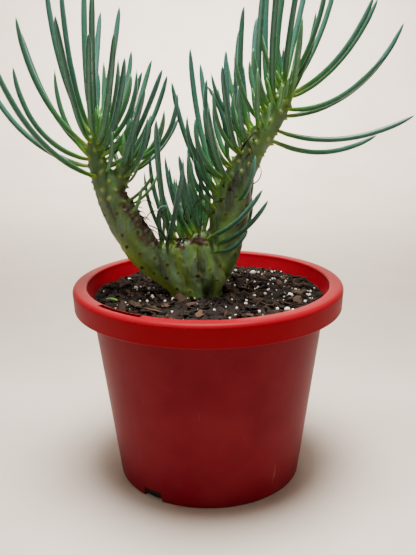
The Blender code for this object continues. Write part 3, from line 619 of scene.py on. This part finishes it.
def displace_stem(stem):
    """Move the stem's points along their normals by ribs, lumps, creases, scars and knobs, and
    store the values that colour it.  Returns where the leaf scars and knobs are, the normals there
    and how young the stem is there."""
    mesh = stem.data
    points = read_points(mesh)
    normals = read_points(mesh, "normal")
    right = points[:, 0] / MM
    above = (points[:, 2] - MIX_LEVEL) / MM

    # Growth coordinates: across the growth, then along it.  Low down the growth fans out from the
    # root, and on the arms it follows the limb; the two patterns are mixed by height.
    low = fade(above, 52.0, 22.0)
    fan = np.arctan2(right + 8.0, above + 46.0) * 75.0
    arm = np.zeros(len(points))
    for name in ("left_arm", "right_arm"):
        near, offset = near_limb(points, name, 17.0 * MM)
        arm = np.where(near, offset[:, 0] / MM, arm)
    growths = [(share, np.stack((across, above * 0.16, points[:, 1] / MM * 0.8), axis=1) * MM)
               for share, across in ((low, fan), (1.0 - low, arm))]
    streak = 0.5 + sum(share * (0.28 * waves(growth, 3.2 * MM, 3) + 0.22 * waves(growth, 7.5 * MM, 4))
                       for share, growth in growths)
    streak += 0.10 * fade(above, 22.0, 0.0)
    ribs = sum(share * waves(growth * (1.0, 0.4, 0.5), 6.0 * MM, 5) for share, growth in growths)
    # A painted highlight: how strongly the lower stem's left-facing skin is painted bright green.
    painted_ridge_highlight = np.clip(-1.3 * normals[:, 0] - 0.5 * normals[:, 2], 0.0, 1.0) \
        * fade(above, 50.0, 34.0) * (normals[:, 1] < 0.6) * (right < -8.0)
    relief = 0.30 * MM * ribs + 0.30 * MM * waves(points, 10.0 * MM, 7) \
        + 0.14 * MM * waves(points, 3.6 * MM, 8) + 0.07 * MM * waves(points, 2.0 * MM, 9)

    # Creases between the lobes, drawn on the front (-1) and on the back (+1): right, above the mix.
    # Their depth also paints shade into the skin there.
    dips = crease(points, ((5, 44), (5, 30), (9, 24), (13, 17), (17, 8)), 1.5, 1.3, -1)
    dips += crease(points, ((-31, 38), (-25, 27), (-18, 15), (-12, 2)), 2.2, 0.3, -1)
    dips += crease(points, ((-14, 46), (-12, 28), (-9, 12), (-8, 0)), 1.8, 0.3, -1)
    dips += crease(points, ((2, 44), (0, 26), (-6, 10)), 2.0, 1.4, 1)
    dips += crease(points, ((-34, 36), (-26, 24), (-18, 8)), 2.2, 1.4, 1)
    relief -= dips

    young = np.zeros(len(points))
    for name, start, end in (("left_arm", 66.0, 84.0), ("right_arm", 84.0, 112.0),
                             ("side_shoot", 70.0, 84.0)):
        near, _ = near_limb(points, name, 15.0 * MM)
        young = np.maximum(young, near * fade(above, start, end))

    # A raised knob on young skin; a ringed hollow with a torn dark middle on old skin.
    scar = np.zeros(len(points))
    knob = np.zeros(len(points))
    rough_edge = 0.7 * waves(points, 1.6 * MM, 31)
    source = np.random.default_rng(12)
    spots = pick_spots(points, above > 3.0, np.where(young > 0.25, 6.8, 9.4) * MM, 11)
    for index in spots:
        distance = np.linalg.norm(points - points[index], axis=1) / MM
        close = distance < 5.0
        part = distance[close]
        size = source.uniform(0.55, 1.45)
        if young[index] > 0.25:
            relief[close] += 2.0 * size * MM * np.exp(-(part / 1.15) ** 2)
            bump = np.exp(-(part / 1.4) ** 2)
            dark = 0.4 * np.exp(-(part / 0.5) ** 2) * (size > 1.1)
        else:
            relief[close] += 0.42 * MM * np.exp(-((part - 1.5 * size) / 0.7) ** 2) \
                - 0.40 * MM * np.exp(-(part / (0.9 * size)) ** 2)
            bump = 0.14 * np.exp(-((part - 2.2) / 0.8) ** 2)
            dark = np.clip(1.9 - 1.35 * part / size + rough_edge[close], 0.0, 1.0)
        knob[close] = np.maximum(knob[close], bump)
        scar[close] = np.maximum(scar[close], dark)

    # Corky bark with a torn edge: over the saddle, inside the left arm and under the right elbow.
    torn = waves(points, 3.0 * MM, 21)
    saddle = np.exp(-((right + 19.0) / 19.0) ** 4) * np.clip((above - 38.0 + 4.0 * torn) / 3.0, 0.0, 1.0) \
        * (above < 66.0) * (right < 6.0)
    inner = np.clip((normals[:, 0] - 0.05) * 2.4, 0.0, 1.0) * (right < -33.0) \
        * fade(above, 36.0, 42.0) * fade(above, 84.0, 78.0)
    elbow = np.clip(-normals[:, 0] * 2.0 - 0.4, 0.0, 1.0) * np.exp(-((above - 110.0) / 13.0) ** 2) \
        * (right > 12.0)
    bark = np.clip((1.3 * saddle + inner + 0.7 * elbow) * (0.80 + 0.8 * torn), 0.0, 1.0)
    relief += 0.45 * MM * bark * waves(points, 1.8 * MM, 22)

    points += normals * relief[:, None]
    mesh.vertices.foreach_set("co", points.astype(np.float32).ravel())
    mesh.update()
    put_values(mesh, {"streak": np.clip(streak, 0.0, 1.0), "scar": scar, "young": young, "knob": knob,
                      "bark": bark, "painted_crease_shade": np.clip(dips / (2.2 * MM), 0.0, 0.8), "painted_ridge_highlight": painted_ridge_highlight})
    mesh.shade_smooth()
    finish_piece(stem, "stem_skin", "stem")
    return points[spots], normals[spots], young[spots]


# ---------------------------------------------------------------- leaves
def tubes_along(lines, radii, sides, flat, groove=0.0):
    """Rings square to each of many lines (count, rows, 3), a little flattened, with a groove on
    the upper side; radii is (count, rows)."""
    along = unit(np.gradient(lines, axis=1))
    chord = unit(lines[:, -1] - lines[:, 0])
    guess = np.cross(chord, UP) + 1e-4 * BACK
    side = unit(guess)[:, None] * np.ones_like(along)
    side = unit(side - along * (side * along).sum(axis=2, keepdims=True))
    front = np.cross(along, side)
    turn = circle(sides)
    shape = 1.0 - groove * np.exp(-((np.abs(turn - 0.5 * math.pi)) / 0.35) ** 2)
    across = (radii[..., None] * shape * np.cos(turn))[..., None] * side[:, :, None]
    upright = (radii[..., None] * shape * flat * np.sin(turn))[..., None] * front[:, :, None]
    return lines[:, :, None] + across + upright


def leaf_width(share):
    """Width of a leaf along its length: a narrow foot, full from a quarter to three fifths, then
    drawn to a point."""
    foot = 0.58 + 0.42 * np.clip(share / 0.26, 0.0, 1.0) ** 0.8
    point = np.clip(1.0 - ((share - 0.62) / 0.38).clip(0.0) ** 2.0, 0.0, 1.0) ** 0.85
    return foot * point


def put_leaves(name, lines, full, tones, youth, rows=34, sides=12):
    """Closed leaf solids along many lines, their radius the full one times leaf_width, with their
    along, around, tone and young values and the pale top line that is partly a painted highlight."""
    count = len(lines)
    share = np.linspace(0.0, 1.0, rows + 1)[:rows]
    spine = np.array([spline(line, rows + 1) for line in lines])
    radii = np.asarray(full)[:, None] * np.maximum(leaf_width(share), 0.06)[None]
    rings = tubes_along(spine[:, :rows], radii, sides, 0.92, 0.07)
    turn = np.linspace(0.0, 1.0, sides, endpoint=False)
    around = np.tile(np.abs(2.0 * turn - 1.0), rows)
    # Where the pale line runs on each leaf: partly a window line, partly a painted highlight.
    window_and_highlight = np.tile(np.exp(-((turn - 0.25) / 0.07) ** 2), rows) \
        * np.repeat(np.clip((share - 0.1) * 6.0, 0.0, 1.0), sides)
    each = rows * sides + 2
    values = {"along": np.tile(np.append(np.repeat(share, sides), (0.0, 1.0)), count),
              "around": np.tile(np.append(around, (0.5, 0.5)), count),
              "window_and_highlight": np.tile(np.append(window_and_highlight, (0.0, 0.0)), count),
              "tone": np.repeat(tones, each), "young": np.repeat(youth, each)}
    return put_tubes(name, rings, spine[:, 0], spine[:, -1], LEAF, values)


def leaf_line_of(node):
    """A CAD leaf's middle line, foot to tip, and its full radius.

    The tip is the one point from which every step outward along the mesh's edges reaches a whole
    ring, so the rings are the steps and the line runs through their middles."""
    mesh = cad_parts[node].data
    points = read_points(mesh)
    _, first, same = np.unique(np.round(points / (0.002 * MM)).astype(np.int64), axis=0,
                               return_index=True, return_inverse=True)
    spots = points[first]
    corners = np.empty(len(mesh.loops), np.int32)
    mesh.loops.foreach_get("vertex_index", corners)
    corners = same.ravel()[corners].reshape(-1, 3)
    gaps = np.linalg.norm(spots[:, None] - spots[None], axis=2)
    for tip in np.unravel_index(gaps.argmax(), gaps.shape):
        step = np.full(len(spots), -1)
        step[tip] = 0
        while step.min() < 0:
            touched = corners[(step[corners] == step.max()).any(axis=1)]
            step[touched[step[touched] < 0]] = step.max() + 1
        sizes = np.bincount(step)[1:]
        if sizes.min() == sizes.max():
            break
    rings = [spots[step == k] for k in range(step.max() + 1)]
    middles = np.array([ring.mean(axis=0) for ring in rings])[::-1]
    return middles, max(np.linalg.norm(ring - ring.mean(axis=0), axis=1).mean() for ring in rings[1:])


def make_main_leaves(surface):
    """One fine leaf for each CAD leaf, on the same line, with its foot set into the stem."""
    source = np.random.default_rng(4)
    lines = []
    for node in sorted(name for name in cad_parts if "leaf" in name):
        line, radius = leaf_line_of(node)
        spot, normal, _, _ = surface.find_nearest(Vector(line[0]))
        root = np.array(spot) - np.array(normal) * 1.2 * MM
        line = np.vstack((root, line[1:]))
        lines.append(line)
        piece = put_leaves("fine_" + node, line[None], [radius * 1.16], [source.uniform(0.05, 0.9)], [0.0])
        finish_piece(piece, "leaf_skin", node)
    return lines


def foot_on(surface, start, way):
    """Where a ray from inside the stem leaves it, and the stem's normal there."""
    spot, normal, _, _ = surface.ray_cast(Vector(start), Vector(unit(way)))
    if spot is None:
        spot, normal, _, _ = surface.find_nearest(Vector(start))
    return np.array(spot), np.array(normal)


def turning_line(foot, outward, first, last, length, count=9):
    """A leaf's line that leaves along one climb and turns steadily to another: the sum of equal
    steps whose direction climbs from first to last, in radians, between outward and up."""
    share = (np.arange(count) + 0.5) / count
    climb = first + (last - first) * share ** 0.85
    steps = np.cos(climb)[:, None] * outward + np.sin(climb)[:, None] * UP
    return foot + np.vstack((np.zeros(3), np.cumsum(steps, axis=0))) * length / count


def make_tuft(number, tuft, surface, taken):
    """Leaves set round a stretch of a limb by the golden angle, each turning from its first climb
    to its last.  Of a dozen tries the one that stays farthest from the leaves already there is
    kept, and none nearer than about a leaf's thickness."""
    limb, low, high, count, heading, fan, first, last, shortest, longest, thick, youth = tuft
    source = np.random.default_rng(40 + number)
    line = limb_line(limb, 80)
    reach = (line[:, 2] - MIX_LEVEL) / MM
    lines, full, tones = [], [], []
    for k in range(count):
        best = (-1.0, None, None)
        for _ in range(TRIES):
            share = (k * GOLDEN_TURN + source.uniform(-0.08, 0.08)) % 1.0
            turn = math.radians(heading + fan * (2.0 * share - 1.0))
            rise = (k + 0.5) / count + source.uniform(-0.08, 0.08)
            level = low + (high - low) * min(max(rise, 0.0), 1.0)
            start = line[np.abs(reach - level).argmin(), :3] \
                + UP * max(0.0, level - reach[-1]) * MM * 0.4
            outward = np.array((math.cos(turn), math.sin(turn), 0.0))
            foot, normal = foot_on(surface, start, outward + UP * 0.25)
            climb = math.radians(first + (last - first) * 0.35 * rise + source.uniform(-8.0, 8.0))
            end = math.radians(last + source.uniform(-9.0, 6.0))
            length = (longest + (shortest - longest) * rise ** 2.0) * source.uniform(0.82, 1.06) * MM
            lean = unit(outward + np.append(source.normal(0.0, LEAN_SPREAD, 2), 0.0))
            path = turning_line(foot - normal * 0.8 * MM, lean, climb, end, length)
            gap = np.linalg.norm(path[2:, None] - taken[None], axis=2).min()
            if gap > best[0]:
                best = (gap, path, length)
            if gap > 2.3 * thick * MM:
                break
        gap, path, length = best
        if gap < 1.15 * thick * MM:
            continue
        lines.append(path)
        full.append(thick * MM * min(1.0, 0.72 + 0.28 * length / (longest * MM)) * source.uniform(0.9, 1.08))
        tones.append(source.uniform(0.0, 0.9))
        taken = np.vstack((taken, spline(path, 16)[2:]))
    ages = np.clip(youth + source.normal(0.0, 0.15, len(lines)), 0.0, 1.0)
    piece = put_leaves(f"tuft_{number:02d}_{limb}", np.array(lines), full, np.array(tones), ages, 14, 8)
    finish_piece(piece, "leaf_skin")
    return taken


# ---------------------------------------------------------------- dried remains
def make_dried(surface, spots, normals, young):
    """Dark withered leaf remains as thin tapering tubes: a short hook on some scars, curls in the
    fork and on the right arm, and a few longer threads."""
    source = np.random.default_rng(9)
    share = np.linspace(0.0, 1.0, 5)[:, None]
    lines, full = [], []
    for spot, normal, fresh in zip(spots, normals, young):
        if fresh > 0.3 or source.uniform() > 0.5:
            continue
        length = source.uniform(1.2, 3.2) * MM
        bend = unit(normal + source.normal(size=3) * 0.5 - 0.3 * UP)
        lines.append(spot - normal * 0.6 * MM + share * length * unit(normal + bend)
                     + share ** 2 * bend * length * 0.5)
        full.append(source.uniform(0.35, 0.6) * MM)
    for number in range(46):
        in_fork = number < 30
        x = source.uniform(*((-62.0, -6.0) if in_fork else (14.0, 34.0)))
        y = source.uniform(*((-9.0, 3.0) if in_fork else (-8.0, 4.0)))
        high = 46.0 + max(0.0, -34.0 - x) * 1.25 if in_fork else 74.0 + (x - 14.0) * 2.0
        start = np.array((x, y, high + source.uniform(-3.0, 3.0))) * MM + UP * MIX_LEVEL
        spot, normal, _, _ = surface.find_nearest(Vector(start))
        spot, normal = np.array(spot), np.array(normal)
        length = source.uniform(5.0, 12.0) * MM
        curl = unit(source.normal(size=3))
        lines.append(spot - normal * 0.5 * MM + share * length * 0.55 * unit(normal + curl * 0.9)
                     + share ** 2 * length * 0.6 * unit(np.cross(curl, normal))
                     - share ** 3 * length * 0.4 * UP)
        full.append(source.uniform(0.50, 0.85) * MM)
    for *stations, radius in THREADS:
        lines.append(spline(np.array(stations) * MM, 5) + UP * MIX_LEVEL)
        full.append(radius * MM)
    rows, sides = 12, 5
    spine = np.array([spline(line, rows + 1) for line in lines])
    taper = np.maximum(1.0 - np.linspace(0.0, 1.0, rows + 1)[:rows] ** 2, 0.15)
    rings = tubes_along(spine[:, :rows], np.array(full)[:, None] * taper[None], sides, 0.7)
    tone = np.full(len(lines) * (rows * sides + 2), 0.25)
    piece = put_tubes("dried_leaf_remains", rings, spine[:, 0], spine[:, -1], DRIED, {"tone": tone})
    finish_piece(piece, "stem_skin")


# ---------------------------------------------------------------- potting mix
def mix_height(x, y):
    """Uneven top of the mix: mounds, small lumps and crumbs as three sizes of smooth noise."""
    spots = np.stack((x, y, np.zeros_like(x)), axis=-1).reshape(-1, 3)
    lumps = 1.4 * waves(spots, 26.0 * MM, 31) + 0.8 * waves(spots, 8.0 * MM, 32) \
        + 0.35 * waves(spots, 3.0 * MM, 33)
    return MIX_LEVEL + (lumps * MM).reshape(x.shape) - 0.8 * MM


def make_mix():
    """Rings that shrink to the middle at mix_height, over one smaller ring near the pot's floor."""
    edge = MIX_RADIUS + 1.2 * MM
    rings, sides = 70, 200
    turn = circle(sides)
    radius = (np.linspace(1.0, 0.01, rings) * edge)[:, None] * np.ones(sides)
    x = radius * np.cos(turn)
    y = radius * np.sin(turn)
    low = 0.86 * np.stack((0.93 * edge * np.cos(turn), 0.93 * edge * np.sin(turn),
                           np.full(sides, 3.0 * MM)), axis=-1)
    grid = np.concatenate((low[None], np.stack((x, y, mix_height(x, y)), axis=-1)))
    middle = UP * mix_height(np.zeros(1), np.zeros(1))
    points = np.vstack((grid.reshape(-1, 3), 3.0 * MM * UP, middle))
    tone = 0.18 + 0.14 * waves(points, 2.2 * MM, 35)
    piece = put_tubes("bark_mix_bed", grid[None], 3.0 * MM * UP[None], middle[None], BARK, {"tone": tone})
    finish_piece(piece, "potting_mix", "potting_mix")


def scatter(count, seed, reach, crowd=0.0):
    """Places over the mix, clear of the stem: even by area, or thinned towards the left by crowd."""
    source = np.random.default_rng(seed)
    places = []
    while len(places) < count:
        r = reach * math.sqrt(source.uniform())
        a = source.uniform(0.0, 2.0 * math.pi)
        x, y = r * math.cos(a), r * math.sin(a)
        if ((x / MM + 9.0) / 21.0) ** 2 + (y / MM / 12.0) ** 2 < 1.0:
            continue
        if source.uniform() < crowd * (0.5 - 0.5 * x / reach):
            continue
        places.append((x, y))
    return np.array(places)


def on_mix(places):
    """Flat places lifted onto the mix."""
    return np.column_stack((places, mix_height(places[:, 0], places[:, 1])))


def turned(count, source, lie):
    """Random turns: any heading, and a tilt that is small when lie is near one."""
    heading = source.uniform(0.0, 2.0 * math.pi, count)
    long_way = unit(np.stack((np.cos(heading), np.sin(heading),
                              source.normal(0.0, 1.0 - lie, count)), axis=1))
    normal = unit(np.stack((source.normal(0.0, 1.0 - lie, count), source.normal(0.0, 1.0 - lie, count),
                            np.ones(count)), axis=1))
    wide_way = unit(np.cross(normal, long_way))
    return long_way, wide_way, np.cross(long_way, wide_way)


def laid(base, *parts):
    """Rings about each base: the sum, over three ways, of each ring point's measure along it."""
    return base[:, None, None] + sum(size[..., None] * way[:, None, None] for size, way in parts)


def make_chips(name, count, seed, lengths, tones, lie, slim, thin):
    """Splinters and flakes of bark: short tubes whose six-sided sections have random radii, blunt
    at both ends.  Slim and thin are the ranges of width and of thickness over length."""
    source = np.random.default_rng(seed)
    places = scatter(count, seed + 1, MIX_RADIUS - 1.5 * MM)
    long_way, wide_way, thick_way = turned(count, source, lie)
    length = source.uniform(*lengths, count) * MM * source.choice((0.7, 1.0, 1.25), count)
    wide = length * source.uniform(*slim, count)
    thick = np.clip(length * source.uniform(*thin, count), 0.4 * MM, 2.4 * MM)
    rows, sides = 4, 6
    girth = np.array((0.72, 1.0, 0.95, 0.66)) * source.uniform(0.75, 1.2, (count, rows))
    turn = circle(sides)
    ragged = source.uniform(0.72, 1.15, (count, rows, sides))
    half = girth[..., None] * ragged * 0.5
    local_long = np.linspace(-0.5, 0.5, rows)[None, :, None] + source.normal(0.0, 0.05, (count, rows, sides))
    base = on_mix(places)
    base[:, 2] += thick * source.uniform(-0.3, 1.0, count)
    rings = laid(base, (local_long * length[:, None, None], long_way),
                 (half * np.cos(turn) * wide[:, None, None], wide_way),
                 (half * np.sin(turn) * thick[:, None, None], thick_way))
    limit = MIX_RADIUS + 0.6 * MM
    rings[..., :2] *= np.minimum(1.0, limit / np.linalg.norm(rings[..., :2], axis=-1))[..., None]
    tone = np.repeat(source.choice(tones, count) + source.normal(0.0, 0.05, count), rows * sides + 2)
    piece = put_tubes(name, rings, rings[:, 0].mean(axis=1), rings[:, -1].mean(axis=1), BARK,
                      {"tone": tone}, smooth=False)
    finish_piece(piece, "potting_mix")


def make_grains(name, count, seed, sizes, crowd):
    """Puffed mineral grains: small balls, four rings of a sphere with random radii."""
    source = np.random.default_rng(seed)
    places = scatter(count, seed + 1, MIX_RADIUS - 2.5 * MM, crowd)
    rows, sides = 4, 7
    size = source.uniform(*sizes, count) * MM * source.choice((0.6, 0.8, 1.0, 1.3), count)
    long_way, wide_way, thick_way = turned(count, source, 0.3)
    lift = np.linspace(-0.62, 0.62, rows)
    girth = np.sqrt(1.0 - lift ** 2)
    turn = circle(sides)
    uneven = source.uniform(0.72, 1.18, (count, rows, sides)) * 0.5
    base = on_mix(places)
    base[:, 2] += 0.30 * size + 0.5 * MM
    stretch = source.uniform(0.7, 1.2, (count, 1, 1))
    wide = uneven * girth[:, None] * size[:, None, None]
    tall = lift[:, None] * 0.5 * stretch * size[:, None, None] * np.ones(sides)
    rings = laid(base, (tall, long_way), (wide * np.cos(turn), wide_way), (wide * np.sin(turn), thick_way))
    reach = 0.46 * stretch[:, 0] * size[:, None] * long_way
    tone = np.repeat(source.uniform(0.2, 0.9, count), rows * sides + 2)
    finish_piece(put_tubes(name, rings, base - reach, base + reach, PERLITE, {"tone": tone}), "potting_mix")


def make_shed_tip():
    """A broken-off green leaf tip lying on the mix near the rim: one short curved leaf solid."""
    path = on_mix(np.array(((-66.0, -19.0), (-71.0, -17.0), (-77.5, -16.5))) * MM) + 1.3 * MM * UP
    piece = put_leaves("shed_leaf_tip", path[None], [1.25 * MM], np.array([0.1]), np.array([1.0]), 14, 8)
    finish_piece(piece, "leaf_skin")


# ---------------------------------------------------------------- stage
def make_floor():
    """A round floor that curves up into a wall: rings about the Z axis, a quarter circle between."""
    sides = 128
    turn = circle(sides)
    bend = np.radians(np.linspace(0.0, 90.0, 16))
    radius = np.concatenate(([0.3, 0.7, 1.1], 1.1 + 0.5 * np.sin(bend), [1.6]))
    height = np.concatenate(([0.0, 0.0, 0.0], 0.5 - 0.5 * np.cos(bend), [1.2]))
    grid = np.stack((radius[:, None] * np.cos(turn), radius[:, None] * np.sin(turn),
                     height[:, None] * np.ones(sides)), axis=-1)
    quads, tris = tube_faces(1, len(radius), sides)
    hub = len(radius) * sides
    inward = tris[(tris == hub).any(axis=1)]
    floor = put_mesh("floor", np.vstack((grid.reshape(-1, 3), np.zeros(3))), quads[:, ::-1],
                     inward[:, ::-1], floor_paint())


def add_lamp(name, spot, aim, size, power, tint, spread):
    """A round area light at a spot, aimed at a point; its spread is in degrees."""
    light = bpy.data.lights.new(name, "AREA")
    light.shape = "DISK"
    light.size = size
    light.spread = math.radians(spread)
    light.energy = power
    light.color = colour(tint)[:3]
    holder = bpy.data.objects.new(name, light)
    holder.location = spot
    holder.rotation_euler = (Vector(aim) - Vector(spot)).to_track_quat("-Z", "Y").to_euler()
    bpy.context.scene.collection.objects.link(holder)


def make_light():
    """A soft light overhead and a touch in front, soft washes on the wall all round, and a pale
    weak sky."""
    add_lamp("key_light", (0.0, -0.03, 0.90), (0.0, 0.0, 0.10), 0.44, 10.5, "#fff9f0", 110.0)
    add_lamp("wall_wash", (0.0, 0.60, 1.45), (0.0, 1.55, 0.30), 0.7, 33.0, "#fff7ec", 90.0)
    for name, side, front in (("left_wash", -0.62, -0.1), ("right_wash", 0.62, -0.1),
                              ("front_wash", 0.0, -0.66)):
        add_lamp(name, (side, front, 1.45), (2.4 * side, 2.4 * front, 0.45), 0.6, 7.0, "#fff7ec", 80.0)
    world = bpy.data.worlds.new("soft_sky")
    world.use_nodes = True
    feed(world.node_tree, world.node_tree.nodes["Background"],
         {"Color": colour("#f2f1ee"), "Strength": 0.06})
    bpy.context.scene.world = world


def make_camera():
    """A camera a little above the plant's fork, looking down at the pot and turned a hair."""
    lens = bpy.data.cameras.new("camera")
    lens.sensor_width = 36.0
    lens.lens = 50.59
    camera = bpy.data.objects.new("camera", lens)
    camera.location = (0.0, -0.560, 0.311)
    camera.rotation_mode = "ZYX"
    camera.rotation_euler = (0.5 * math.pi - 0.276, 0.0, -0.0105)
    bpy.context.scene.collection.objects.link(camera)
    bpy.context.scene.camera = camera


# ---------------------------------------------------------------- the object
PLASTIC = moulded_plastic()
# Composted bark: dark brown, with paler worn faces on some chips.
BARK = earth("composted_bark", ((0.0, "#0d0907"), (0.30, "#1b120d"), (0.55, "#2e221a"), (0.80, "#503d30"),
                                (1.0, "#86705a")), 900.0, 0.4 * MM)
# Perlite: off-white foamed glass, bright against the bark.
PERLITE = earth("puffed_perlite", ((0.0, "#b5b0a6"), (0.5, "#d9d5cd"), (1.0, "#f2f0ea")), 1500.0, 0.3 * MM)
# Withered leaf skin: nearly black brown threads.
DRIED = earth("dried_leaf_skin", ((0.0, "#120d0b"), (0.5, "#2a1d18"), (1.0, "#54413a")), 1200.0, 0.1 * MM)
LEAF = leaf_skin()
STEM = stem_skin()

make_camera()
make_floor()
make_light()
make_pot()
make_mix()
make_chips("bark_chips", 900, 51, (3.6, 9.0), (0.12, 0.16, 0.24, 0.34, 0.44, 0.62), 0.55,
           (0.34, 0.75), (0.18, 0.42))
make_chips("bark_crumbs", 1700, 57, (1.4, 3.4), (0.14, 0.2, 0.28, 0.4), 0.4, (0.4, 0.9), (0.3, 0.6))
make_chips("bark_flakes", 130, 61, (7.0, 12.0), (0.2, 0.3, 0.42, 0.70), 0.78, (0.35, 0.65), (0.10, 0.22))
make_grains("perlite_grains", 270, 71, (0.9, 2.2), 0.6)
make_grains("large_perlite", 18, 75, (2.4, 3.8), 0.3)
stem, spots, normals, young = make_stem()
bpy.context.view_layer.update()
surface = BVHTree.FromObject(stem, bpy.context.evaluated_depsgraph_get())
taken = np.vstack([spline(line, 40)[3:] for line in make_main_leaves(surface)])
for number, tuft in enumerate(TUFTS, 1):
    taken = make_tuft(number, tuft, surface, taken)
make_dried(surface, spots, normals, young)
make_shed_tip()
